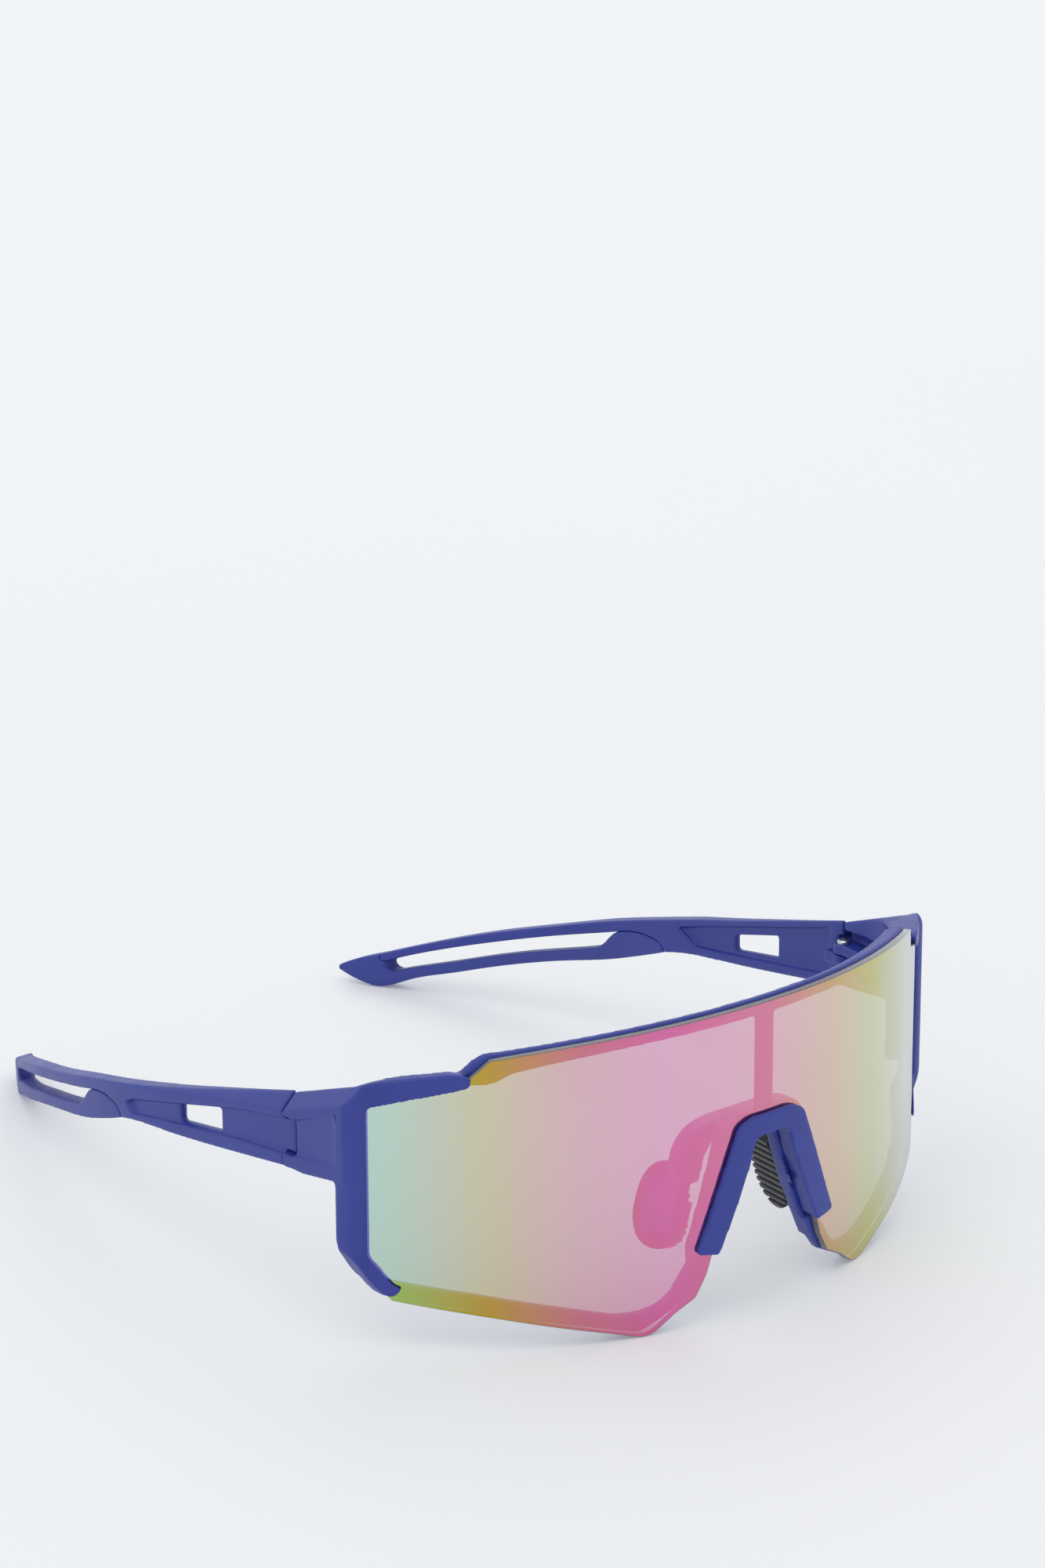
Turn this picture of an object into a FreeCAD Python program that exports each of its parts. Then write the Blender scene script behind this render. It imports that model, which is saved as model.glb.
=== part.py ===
import FreeCAD, Part
import math
import os

import Sketcher

# Wraparound sport sunglasses with one cylindrical shield lens.
# Millimetres. +X runs to the wearer's left, -Y to the front, +Z up. x = 0 is the plane of symmetry.
# The outlines below are drawn with the front of the lens near y = -5; the whole object is then
# moved back along Y by origin_y, which puts the origin under the middle of its box.

V = FreeCAD.Vector
doc = FreeCAD.newDocument("sport_sunglasses")

# ---------------------------------------------------------------- driving dimensions
sheet = doc.addObject("Spreadsheet::Sheet", "Sizes")
CELLS = [
    ("lens_radius", 86.0),        # outer face of the shield
    ("lens_thick", 1.4),
    ("lens_axis_y", 80.7),        # the bend's vertical axis
    ("lens_fit", 0.1),            # play of the lens in its channel
    ("lip_proud", 0.65),           # how far the front lips stand over the lens
    ("clip_proud", 1.15),
    ("clip_depth", 2.9),          # how far the clip's inner wall runs back from the lens front
    ("brow_depth", 3.8),
    ("crest_depth", 1.5),         # the tall front part of the brow and the side lips
    ("crest_tall", 1.4),          # how far it stands over the rear part
    ("rim_depth", 2.2),
    ("post_depth", 0.9),
    ("arch_depth", 4.3),
    ("post_width", 4.4),
    ("half_width", 71.5),
    ("hinge_x", 67.2),
    ("hinge_y", 46.6),
    ("knuckle_radius", 2.1),
    ("knuckle_low", 33.2),        # underside of the lower fixed knuckle
    ("knuckle_tall", 2.1),        # each fixed knuckle
    ("leaf_tall", 2.4),           # the moving knuckle
    ("knuckle_gap", 0.1),
    ("screw_radius", 0.7),
    ("screw_play", 0.05),
    ("head_radius", 1.3),
    ("head_tall", 0.75),
    ("insert_radius", 1.25),
    ("arm_mid_x", 69.5),
    ("arm_thick", 3.6),
    ("arm_bend", 175.0),          # plan radius of the temples behind the bend
    ("bend_start", 82.5),
    ("groove_depth", 0.9),
    ("recess_depth", 1.1),
    ("pad_thick", 2.8),
    ("pad_x", 13.6),
    ("pad_y", 8.7),
    ("pad_z", 19.3),
    ("origin_y", 85.15),
    ("reach", 75.0),
]
for i, (alias, value) in enumerate(CELLS, 1):
    sheet.set("A%d" % i, alias)
    sheet.set("B%d" % i, str(value))
    sheet.setAlias("B%d" % i, alias)
doc.recompute()


def val(alias):
    return float(sheet.get(alias))


R, YC = val("lens_radius"), val("lens_axis_y")
HX, HY = val("hinge_x"), val("hinge_y")

# ---------------------------------------------------------------- helpers
FRONT = FreeCAD.Rotation(V(1, 0, 0), 90)          # a sketch's (u, v) becomes (x, z)
SIDE = FreeCAD.Rotation(V(1, 1, 1), 120)          # a sketch's (u, v) becomes (y, z)
PLAN = FreeCAD.Rotation()                         # a sketch's (u, v) becomes (x, y)


def bind(o, **expressions):
    for prop, expression in expressions.items():
        o.setExpression(prop.replace("__", "."), expression)


def segments(path):
    """path is a closed list: points are joined by lines, and ("S", [points]) is a smooth curve
    from the point before it through its own points."""
    out, last, first = [], None, None
    for item in path:
        if isinstance(item, tuple) and item[0] == "S":
            out.append(("S", [last] + list(item[1])))
            last = item[1][-1]
        else:
            if last is not None and math.dist(last, item) > 1e-6:
                out.append(("L", [last, item]))
            last = item
            first = first or item
    if math.dist(last, first) > 1e-6:
        out.append(("L", [last, first]))
    return out


def sketch(name, path, rotation, base=(0, 0, 0)):
    o = doc.addObject("Sketcher::SketchObject", name)
    o.Placement = FreeCAD.Placement(V(*base), rotation)
    first = count = None
    segs = segments(path)
    for i, (kind, pts) in enumerate(segs):
        if kind == "L":
            g = Part.LineSegment(V(*pts[0], 0), V(*pts[1], 0))
        else:
            g = Part.BSplineCurve()
            g.interpolate([V(*p, 0) for p in pts])
        o.addGeometry(g, False)
    for i in range(len(segs)):
        j = (i + 1) % len(segs)
        if segs[i][0] == "L" and segs[j][0] == "L":
            o.addConstraint(Sketcher.Constraint("Coincident", i, 2, j, 1))
    return o


def prism(name, path, rotation, direction, length, base=(0, 0, 0)):
    s = sketch(name + "_outline", path, rotation, base)
    e = doc.addObject("Part::Extrusion", name)
    e.Base = s
    e.DirMode = "Custom"
    e.Dir = V(*direction)
    e.Solid = True
    if isinstance(length, str):
        e.setExpression("LengthFwd", length)
    else:
        e.LengthFwd = length
    return e


def front_prism(name, path, y0=-12.0):
    return prism(name, path, FRONT, (0, 1, 0), "Sizes.reach", (0, y0, 0))


def side_prism(name, path, x0, x1):
    return prism(name, path, SIDE, (1, 0, 0), x1 - x0, (x0, 0, 0))


def plan_prism(name, path, z0, z1):
    return prism(name, path, PLAN, (0, 0, 1), z1 - z0, (0, 0, z0))


def cylinder(name, radius, height, x=None, y=None, z=None):
    c = doc.addObject("Part::Cylinder", name)
    for prop, e in (("Radius", radius), ("Height", height), ("Placement.Base.x", x),
                    ("Placement.Base.y", y), ("Placement.Base.z", z)):
        if e is not None:
            c.setExpression(prop, str(e))
    return c


def box(name, low, high):
    b = doc.addObject("Part::Box", name)
    b.Length, b.Width, b.Height = (high[0] - low[0], high[1] - low[1], high[2] - low[2])
    b.Placement.Base = V(*low)
    return b


def fuse(name, *shapes):
    f = doc.addObject("Part::MultiFuse", name)
    f.Shapes = list(shapes)
    f.Refine = True
    return f


def common(name, *shapes):
    f = doc.addObject("Part::MultiCommon", name)
    f.Shapes = list(shapes)
    return f


def cut(name, base, *tools):
    tool = tools[0] if len(tools) == 1 else fuse(name + "_tools", *tools)
    c = doc.addObject("Part::Cut", name)
    c.Base, c.Tool = base, tool
    c.Refine = True
    return c


def mirror(name, source):
    m = doc.addObject("Part::Mirroring", name)
    m.Source = source
    m.Normal = V(1, 0, 0)
    return m


def shell(name, outer, inner):
    """A ring about the lens axis between two radii, given as expressions."""
    a = cylinder(name + "_outer", outer, "Sizes.reach", y="Sizes.lens_axis_y", z="-4")
    b = cylinder(name + "_inner", inner, "Sizes.reach", y="Sizes.lens_axis_y", z="-4")
    return cut(name, a, b)


def mirrored(half):
    """Full symmetric path. half runs from the top at x = 0 round the +x side to the bottom at
    x = 0, as lines and smooth curves."""
    segs = segments_open(half)
    path = [segs[0][1][0]]
    for kind, pts in segs:
        path.append(("S", pts[1:]) if kind == "S" else pts[1])
    for kind, pts in reversed(segs):
        back = [(-p[0], p[1]) for p in reversed(pts)]
        path.append(("S", back[1:]) if kind == "S" else back[1])
    return path


def segments_open(path):
    out, last = [], None
    for item in path:
        if isinstance(item, tuple) and item[0] == "S":
            out.append(("S", [last] + list(item[1])))
            last = item[1][-1]
        else:
            if last is not None:
                out.append(("L", [last, item]))
            last = item
    return out


# ---------------------------------------------------------------- shield lens
def lens_path(g=0.0):
    """Outline of the shield seen from the front, grown by g."""
    return mirrored([
        (0, 60.3 + g),
        ("S", [(14, 60.05 + g), (30, 59.2 + g), (43, 57.9 + g), (51.6 + g, 56.5 + g)]),
        (54.6 + g, 53.0 + g), (62.0 + g, 50.8 + g), (68.0 + g, 48.4 + g), (69.6 + g, 46.8 + g),
        (69.6 + g, 19.0 - g), (66.6 + g, 12.6 - g), (64.8 + g, 9.7 - g),
        ("S", [(59, 8.4 - g), (52.5, 6.9 - g), (43, 4.4 - g), (35, 2.3 - g), (29.5, 0.75 - g),
               (26.6, 0.1 - g), (24.2, 0.75 - g)]),
        (20.6 - g, 3.4 - g), (16.3 - g, 5.8 - g), (14.0 - g, 10.0), (12.9 - g, 13.6), (9.5 - g, 22.0),
        (6.8 - g, 29.0), (5.8 - g, 33.2),
        ("S", [(5.2 - g, 35.0), (3.8 - g, 36.1 - g), (2.6, 36.4 - g)]),
        (0, 36.4 - g),
    ])


def end_wedge(name, degrees):
    """The space past the lens's radial end faces, for both sides."""
    a = math.radians(degrees)
    p = lambda r: (r * math.sin(a), YC - r * math.cos(a))
    w = plan_prism(name + "_side", [p(70), p(96), (100, p(96)[1]), (100, 75), (p(70)[0], 75)], -6, 70)
    return fuse(name, w, mirror(name + "_other", w))


lens = cut(
    "shield_lens",
    common("lens_blank", front_prism("lens_prism", lens_path()),
           shell("lens_shell", "Sizes.lens_radius", "Sizes.lens_radius - Sizes.lens_thick")),
    end_wedge("lens_ends", 52.7),
)

lens_pocket = cut(
    "lens_pocket",
    common("pocket_blank", front_prism("pocket_prism", lens_path(0.12)),
           shell("pocket_shell", "Sizes.lens_radius + Sizes.lens_fit",
                 "Sizes.lens_radius - Sizes.lens_thick - Sizes.lens_fit")),
    end_wedge("pocket_ends", 53.3),
)

# ---------------------------------------------------------------- nose bridge clip
clip_face_path = mirrored([
    (0, 38.9), (3.6, 38.9), ("S", [(5.4, 38.6), (7.2, 37.8), (8.4, 36.3)]),
    (11.1, 29.3), (14.4, 20.5), (16.45, 15.3), ("S", [(16.4, 14.7), (15.9, 14.3)]),
    (12.7, 13.7), ("S", [(12.2, 13.75), (11.9, 14.1)]),
    (8.5, 21.7), (5.6, 29.1), (4.5, 32.9), ("S", [(4.0, 34.0), (3.2, 34.6), (2.2, 34.8)]), (0, 34.8),
])
clip_wall_path = mirrored([
    (0, 36.1), (2.5, 36.1), ("S", [(3.6, 35.85), (4.75, 34.8), (5.4, 33.0)]),
    (6.45, 29.1), (9.15, 22.0), (12.5, 14.2), (11.9, 14.1),
    (8.5, 21.7), (5.6, 29.1), (4.5, 32.9), ("S", [(4.0, 34.0), (3.2, 34.6), (2.2, 34.8)]), (0, 34.8),
])
clip = fuse(
    "nose_bridge_clip",
    common("clip_face", front_prism("clip_face_prism", clip_face_path),
           shell("clip_face_shell", "Sizes.lens_radius + Sizes.clip_proud",
                 "Sizes.lens_radius + 0.02")),
    common("clip_wall", front_prism("clip_wall_prism", clip_wall_path),
           shell("clip_wall_shell", "Sizes.lens_radius + 0.5", "Sizes.lens_radius - Sizes.clip_depth")),
)

# ---------------------------------------------------------------- front frame
def brow_path(drop, end):
    """Outline of the brow, its top lowered by drop, and by end over the lips."""
    k = 1.0 - 0.0125 * drop       # the rear part is narrower, so that its steps lie behind the front's
    return mirrored([
        (0, 60.7 - drop),
        ("S", [(14, 60.45 - drop), (30, 59.55 - drop), (43, 58.15 - drop), (49.5 * k, 57.2 - drop)]),
        ("S", [(51.2 * k, 56.8 - drop), (52.3 * k, 55.8 - drop), (53.4 * k, 54.65 - (drop + end) / 2), (55.0 * k, 54.2 - end)]),
        (60.5, 53.2 - end), (66.0, 51.9 - end), (70.0, 50.8 - end), (70.0, 47.0), (67.0, 47.3), (62.5, 49.0),
        (58.5, 50.25), (53.8, 51.1), (51.0, 51.2), (49.6, 51.6), (48.2, 52.6), (47.2, 53.2), (44.0, 54.0),
        ("S", [(34.0, 55.6), (19.0, 56.8), (0, 57.2)]),
    ])


CHANNEL = "Sizes.lens_radius - Sizes.lens_thick - Sizes.lens_fit"
brow_front = common(
    "brow_front",
    front_prism("brow_front_prism", brow_path(0.0, 0.8)),
    shell("brow_front_shell", CHANNEL, CHANNEL + " - Sizes.crest_depth"),
    box("brow_front_reach", (-80, -20, 0), (80, 36, 70)),
)
brow_rear = common(
    "brow_rear",
    front_prism("brow_rear_prism", brow_path(val("crest_tall"), 1.9)),
    shell("brow_rear_shell", CHANNEL + " - Sizes.crest_depth + 0.1", CHANNEL + " - Sizes.brow_depth"),
    box("brow_rear_reach", (-80, -20, 0), (80, 36, 70)),
)
brow = fuse("brow_bar", brow_front, brow_rear)
post_block = doc.addObject("Part::Box", "post_block")
post_block.Width, post_block.Height = 20, 20.0
bind(post_block, Length="Sizes.post_width", Placement__Base__x="-Sizes.post_width / 2")
post_block.Placement.Base = V(0, -12, 38.0)
bind(post_block, Placement__Base__x="-Sizes.post_width / 2")
post = common(
    "centre_post",
    shell("post_shell", "Sizes.lens_radius - Sizes.lens_thick - Sizes.lens_fit",
          "Sizes.lens_radius - Sizes.lens_thick - Sizes.lens_fit - Sizes.post_depth"),
    post_block,
)
# the rim under each eye, from the side hook to the nose
rim_half = [
    (69.5, 19.4), (66.6, 12.6), (64.8, 9.8),
    ("S", [(59, 8.55), (52.5, 7.05), (43, 4.55), (35, 2.5), (29.5, 1.0), (26.6, 0.4), (24.4, 0.95)]),
    (20.8, 2.9), (15.4, 5.8), (14.1, 7.6), (10.7, 14.7), (13.8, 14.6), (16.7, 10.6), (19.4, 6.5),
    ("S", [(22.3, 4.7), (26.5, 3.9), (31.0, 4.4)]), (35, 5.6), (43, 7.8), (52.5, 10.3), (59, 11.7), (63.0, 12.5), (65.0, 13.4), (67.6, 18.0),
    (68.0, 19.4),
]
rim = common(
    "lower_rim",
    front_prism("rim_prism", rim_half),
    shell("rim_shell", "Sizes.lens_radius - Sizes.lens_thick - Sizes.lens_fit",
          "Sizes.lens_radius - Sizes.lens_thick - Sizes.lens_fit - Sizes.rim_depth"),
    box("rim_reach", (0, -20, -2), (80, 31.2, 30)),
)
arch_path = mirrored([
    (0, 38.7), (3.6, 39.1), ("S", [(5.6, 38.9), (7.4, 37.6), (8.5, 34.6)]),
    (10.0, 28.6), (12.4, 20.4), (14.6, 13.4), (14.0, 7.9), (10.7, 14.7), (7.3, 22.3), (4.4, 31.0),
    ("S", [(3.9, 32.6), (3.0, 33.6), (1.8, 33.9)]), (0, 33.9),
])
arch = common(
    "nose_arch",
    front_prism("arch_prism", arch_path),
    shell("arch_shell", "Sizes.lens_radius - Sizes.lens_thick - Sizes.lens_fit",
          "Sizes.lens_radius - Sizes.lens_thick - Sizes.lens_fit - Sizes.arch_depth"),
)
clip_seat = common(
    "clip_seat",
    front_prism("clip_seat_prism", mirrored([
        (0, 36.25), (2.5, 36.25), ("S", [(3.7, 36.0), (4.9, 34.9), (5.55, 33.0)]),
        (6.6, 29.1), (9.3, 22.0), (12.9, 13.9), (10.9, 13.0), (7.9, 21.4), (4.9, 29.1), (3.9, 32.6),
        ("S", [(3.4, 33.4), (2.8, 33.8), (2.0, 33.9)]), (0, 33.9)])),
    shell("clip_seat_shell", "Sizes.lens_radius + 2",
          "Sizes.lens_radius - Sizes.clip_depth - 0.05"),
)

# side lip over the lens end, with the hook at its foot
lip_path = [
    (54.4, 52.5), ("S", [(54.7, 51.8), (55.5, 51.1)]), (58.5, 50.2), (62.5, 48.95), (66.9, 47.2),
    ("S", [(67.6, 46.7), (67.8, 46.0)]), (67.8, 18.7), (67.5, 17.8), (64.9, 13.2), (63.9, 12.6),
    ("S", [(63.9, 11.9), (64.5, 10.9), (65.3, 10.5)]), (66.3, 11.2),
    (71.1, 18.9), ("S", [(71.4, 19.5), (71.5, 20.2)]), (71.5, 50.7), (66.0, 52.2), (60.5, 53.5),
    ("S", [(57.6, 54.0), (55.8, 54.05), (54.7, 53.5), (54.4, 52.5)]),
]
lip = common(
    "side_lip",
    front_prism("lip_prism", lip_path),
    shell("lip_shell", "Sizes.lens_radius + Sizes.lip_proud", CHANNEL + " - 0.2"),
    box("lip_reach", (50, -20, 0), (80, 31.6, 70)),
)
bar = common(
    "side_bar",
    plan_prism("bar_plan", [
        (67.8, 26.85), ("S", [(69.2, 27.0), (70.4, 27.7), (71.1, 28.9)]), (71.5, 31.2),
        ("S", [(71.3, 31.9), (70.6, 32.2)]), (65.6, 32.1), ("S", [(64.85, 31.9), (64.6, 31.2)]),
        (66.9, 28.9), (67.4, 28.0), (67.8, 28.0)], 0, 70),
    side_prism("bar_side", [(20, 19.0), (31, 20.3), (40, 20.3), (40, 47.6), (20, 51.6)], 60, 75),
)
hook_fill = common(
    "bar_front",
    plan_prism("bar_front_plan", [
        (67.8, 26.85), ("S", [(69.2, 27.0), (70.4, 27.7), (71.1, 28.9)]), (71.5, 31.2), (67.8, 31.2)], 0, 70),
    front_prism("bar_front_outline", lip_path),
)
end_block = common(
    "end_block",
    plan_prism("end_plan", [
        (71.5, 29.0), (71.5, 47.2), (67.7, 47.2), (67.6, 40.0),
        ("S", [(67.0, 36.5), (66.1, 33.6), (65.2, 31.8)]), (66.9, 29.0)], 20, 62),
    side_prism("end_side", [
        (29.0, 32.7), (31.0, 32.3), (41.4, 30.6), (47.2, 30.35), (47.2, 56), (29.0, 56)], 60, 75),
)
KL, KT, LT, KG = (val(a) for a in ("knuckle_low", "knuckle_tall", "leaf_tall", "knuckle_gap"))
z1, z2 = KL + KT, KL + KT + KG
z3 = z2 + LT
z4 = z3 + KG
z5 = z4 + KT


def knuckle(name, z, tall, radius="Sizes.knuckle_radius"):
    return cylinder(name, radius, tall, "Sizes.hinge_x", "Sizes.hinge_y", z)


end_cut = fuse(
    "end_hollows",
    # hollow behind the outer wall, open to the inside, where the hinge works
    box("hinge_hollow", (60, 35.4, 33.0), (69.5, 48, 42.3)),
    # the outer wall stops short of the rails for the arm's tongue
    box("tongue_gap", (60, 44.3, 33.0), (75, 48, 40.2)),
)
groove_front = common(
    "end_groove",
    plan_prism("end_groove_plan", [(71.42, 29.5), (70.6, 44.4), (70.6, 48), (76, 48), (76, 29.5)], 20, 60),
    side_prism("end_groove_side", [(31.5, 35.2), (46, 33.0), (46, 40.2), (44.3, 40.2), (31.5, 45.1)], 60, 78),
)
side_body = cut("side_body", fuse("side_mass", lip, bar, hook_fill), groove_front)
end_body = cut("end_body", end_block, end_cut, groove_front)
knuckles = fuse(
    "fixed_knuckles",
    knuckle("knuckle_lower", "Sizes.knuckle_low", "Sizes.knuckle_tall"),
    box("knuckle_lower_web", (65.3, 40.5, KL), (69.3, HY, z1)),
    box("knuckle_lower_root", (69.2, 40.5, KL), (69.8, 44.1, z1)),
    knuckle("knuckle_upper", str(z4), "Sizes.knuckle_tall"),
    box("knuckle_upper_web", (65.3, 40.5, z4), (69.3, HY, z5)),
    box("knuckle_upper_root", (69.2, 40.5, z4), (69.8, 44.1, z5)),
)
side_full = cut(
    "side_full",
    fuse("side_with_knuckles", side_body, fuse("end_with_knuckles", end_body, knuckles)),
    knuckle("insert_seat", "Sizes.knuckle_low - 0.01", "Sizes.knuckle_tall + 0.02", "Sizes.insert_radius"),
    knuckle("screw_way", str(z4 - 0.01), "Sizes.knuckle_tall + 0.02", "Sizes.screw_radius + Sizes.screw_play"),
)
# everything above the falling line of the top edge is cut away at the sides
top_trim = side_prism("top_trim", [
    (22.0, 53.9), (26.1, 52.1), (30.4, 50.3), (38.8, 47.2), (47.3, 44.05), (60, 40), (60, 80), (22, 80)], -90, 90)
# and its top is crowned: it falls to the outside, and less steeply to the inside
outer_fall = prism("outer_fall", [(68.4, 53.4), (68.4, 58.0), (74.0, 58.0), (74.0, 47.8)], FRONT, (0, 1, -0.37), 34.0, (0, 22.0, 0))
inner_fall = prism("inner_fall", [(68.2, 50.82), (68.2, 56.0), (60.0, 56.0), (60.0, 47.8)], FRONT, (0, 1, -0.37), 26.0, (0, 29.0, 0))
frame = fuse("frame_mass", brow, post, rim, mirror("lower_rim_other", rim), arch, side_full,
             mirror("side_full_other", side_full))
for step, tool in (("channelled", lens_pocket), ("notched", clip_seat), ("topped", top_trim),
                   ("crowned", outer_fall), ("crowned_inside", inner_fall),
                   ("crowned_other", mirror("outer_fall_other", outer_fall)),
                   ("done", mirror("inner_fall_other", inner_fall))):
    frame = cut("frame_" + step, frame, tool)

# ---------------------------------------------------------------- hinge screw and insert
def revolved(name, half_profile):
    body = doc.addObject("PartDesign::Body", name)
    s = body.newObject("Sketcher::SketchObject", name + "_profile")
    plane = [f for f in body.Origin.OriginFeatures if f.Role == "XZ_Plane"][0]
    s.AttachmentSupport = [(plane, "")]
    s.MapMode = "FlatFace"
    n = len(half_profile)
    for i in range(n):
        a, b = half_profile[i], half_profile[(i + 1) % n]
        s.addGeometry(Part.LineSegment(V(*a, 0), V(*b, 0)), False)
    for i in range(n):
        s.addConstraint(Sketcher.Constraint("Coincident", i, 2, (i + 1) % n, 1))
    for i in range(n):
        for axis, kind in ((0, "DistanceX"), (1, "DistanceY")):
            v = half_profile[i][axis]
            if abs(v) > 1e-9:
                s.addConstraint(Sketcher.Constraint(kind, -1, 1, i, 1, v))
            else:
                s.addConstraint(Sketcher.Constraint("PointOnObject", i, 1, -2 if axis == 0 else -1))
    doc.recompute()
    r = body.newObject("PartDesign::Revolution", name + "_turned")
    r.Profile = s
    r.ReferenceAxis = (s, ["V_Axis"])
    r.Angle = 360
    body.Tip = r
    doc.recompute()
    return body, s


SR, HR, HT, IR = (val(a) for a in ("screw_radius", "head_radius", "head_tall", "insert_radius"))
shank = z5 - KL - 0.1
left_screw, _s1 = revolved("left_hinge_screw", [
    (0, -shank), (SR, -shank), (SR, 0), (HR, 0), (HR, HT * 0.6), (HR * 0.8, HT), (0.35, HT), (0.35, HT * 0.5), (0, HT * 0.5)])
left_insert, _s2 = revolved("left_hinge_insert", [
    (SR + 0.02, 0), (IR, 0), (IR, KT), (SR + 0.02, KT)])
for o, z in ((left_screw, z5), (left_insert, KL)):
    bind(o, Placement__Base__x="Sizes.hinge_x", Placement__Base__y="Sizes.hinge_y - Sizes.origin_y")
    o.Placement.Base.z = z

# ---------------------------------------------------------------- temple arm and tip
AX, AT, AB, BS = (val(a) for a in ("arm_mid_x", "arm_thick", "arm_bend", "bend_start"))


def bend(y, off):
    """Plan position of a point of the temple at that y, off outside its middle surface."""
    r = AB + off
    d = max(0.0, y - BS)
    return (AX - AB + math.sqrt(max(0.0, r * r - d * d)), y)


def strip_path(low, high, y0, y1):
    """Plan strip between two offsets from the middle surface."""
    b = max(y0, BS)
    out = [bend(y0, high)] + ([bend(b, high)] if y0 < BS else [])
    out += [("S", [bend(b + (y1 - b) * t / 5.0, high) for t in range(1, 6)]), bend(y1, low)]
    out.append(("S", [bend(b + (y1 - b) * t / 5.0, low) for t in range(4, -1, -1)]))
    return out + ([bend(y0, low)] if y0 < BS else [])


TOP = [(59, 40.95), (69, 38.15), (79, 35.35), (89.3, 32.65), (100.9, 29.55), (110, 27.15), (116.8, 25.25), (126.8, 22.15), (136.3, 19.25), (145.5, 16.35), (154.3, 13.25), (162.7, 10.05), (168.5, 7.75)]
SLOT_TOP = [(167.3, 6.2), (162.8, 8.1), (154.3, 11.2), (145.5, 14.1), (136.4, 16.95), (126.8, 19.8), (118.0, 22.3), (113.6, 23.6)]
SEAM = [(112.2, 24.1), (107.9, 24.95), (104.2, 24.9), (101.2, 24.0), (100.3, 22.4)]

# the arm: its rails, its tall middle, and the upper rail that runs back over the slot
arm_side = side_prism("arm_side", [
    (47.35, 44.35), ("S", TOP),
    (168.5, 6.2), (167.3, 6.2), ("S", SLOT_TOP[1:]), ("S", SEAM),
    ("S", [(95.4, 23.55), (84.5, 25.0), (69.4, 26.95), (59.6, 28.4), (47.35, 30.25)]),
    (47.35, 33.15), (44.45, 33.15), (44.45, 40.05), (47.35, 40.05),
], 20, 80)
arm_blank = common("arm_blank", arm_side, plan_prism("arm_strip", strip_path(-AT / 2, AT / 2 - 0.0, 44.0, 180.0), -5, 60))
outer_groove = common(
    "arm_groove",
    side_prism("arm_groove_side", [
        (44.0, 40.2), (61.5, 36.9), (86.5, 30.3), (95.5, 27.9), (98.2, 26.6), (95.5, 24.9), (86.5, 26.8),
        (61.5, 30.9), (44.0, 33.0)], 20, 80),
    plan_prism("arm_groove_strip", strip_path(AT / 2 - val("groove_depth"), AT / 2 + 2, 43.0, 104.0), -5, 60),
)
inner_recess = common(
    "arm_recess",
    side_prism("arm_recess_side", [
        (51.4, 41.6), (61.5, 38.7), (86.5, 31.9), (96.5, 29.0), (91.0, 26.2), (84.5, 26.9), (69.4, 28.9), (51.4, 31.6)], 20, 80),
    plan_prism("arm_recess_strip", strip_path(-AT / 2 - 2, -AT / 2 + val("recess_depth"), 43.0, 104.0), -5, 60),
)
window = side_prism("arm_window", [(67.4, 35.0), (80.2, 31.6), (80.2, 28.3), (67.4, 30.3)], 60, 80)
knuckle_clear = cylinder("knuckle_clear", "Sizes.knuckle_radius + 0.25", "8.0", "Sizes.hinge_x", "Sizes.hinge_y", "33.0")
arm_crown = prism("arm_crown", [(68.4, 44.99), (68.4, 52.0), (74.0, 52.0), (74.0, 39.39)], FRONT, (0, 1, -0.22), 48.0, (0, 44.0, 0))
tongue_clear = box("tongue_clear", (60, 44, 32.9), (69.55, HY, 41.0))
# a blade of the arm that the tip is moulded round
tang_side = [(99.5, 23.6), (100.2, 26.8), (111.0, 22.6), (111.6, 19.9), (101.5, 22.9)]
tang = common("arm_tang", side_prism("tang_side", tang_side, 20, 80),
              plan_prism("tang_strip", strip_path(-0.7, 0.7, 90.0, 120.0), -5, 60))
arm_solid = cut("arm_solid", arm_blank, outer_groove, inner_recess, window, knuckle_clear, tongue_clear, arm_crown)
leaf = fuse(
    "moving_knuckle",
    knuckle("leaf_barrel", str(z2), "Sizes.leaf_tall"),
    box("leaf_web", (65.3, HY, z2), (69.0, 50.6, z3)),
)
left_arm = cut(
    "left_temple_arm",
    fuse("arm_with_knuckle", arm_solid, leaf, tang),
    knuckle("leaf_bore", str(z2 - 0.01), "Sizes.leaf_tall + 0.02", "Sizes.screw_radius + Sizes.screw_play"),
)

tip_side = side_prism("tip_side", [
    (113.6, 23.6), ("S", SEAM),
    ("S", [(104.2, 20.9), (108, 19.5), (116, 16.8), (126.8, 14.0), (136.4, 11.3), (145.6, 8.4), (154.4, 5.4),
           (162.8, 2.5), (167.0, 0.55), (169.6, 0.0)]),
    ("S", [(172.3, 0.8), (175.3, 2.2), (176.6, 3.1)]),
    ("S", [(176.7, 3.9), (175.6, 4.8), (172.2, 6.4), (168.5, 7.75)]),
    (168.5, 6.2), (167.3, 6.2),
    ("S", [(167.6, 5.2), (166.6, 4.25), (164.9, 4.5)]),
    ("S", [(162.8, 5.2), (154.4, 7.9), (145.6, 10.9), (136.4, 13.8), (126.8, 16.5), (119.5, 18.7)]),
    ("S", [(117.6, 19.6), (115.4, 21.9), (113.6, 23.6)]),
], 20, 80)
left_tip = cut(
    "left_temple_tip",
    common("tip_blank", tip_side, plan_prism("tip_strip", strip_path(-AT / 2, AT / 2, 44.0, 180.0), -5, 60)),
    tang,
)

# ---------------------------------------------------------------- nose bracket and pads
PR = FreeCAD.Rotation(-12.0, -15.0, -7.0)   # rear edge out by 12 degrees, top in by 15 and back by 7 degrees
PX, PY, PZ, PT = (val(a) for a in ("pad_x", "pad_y", "pad_z", "pad_thick"))


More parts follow.
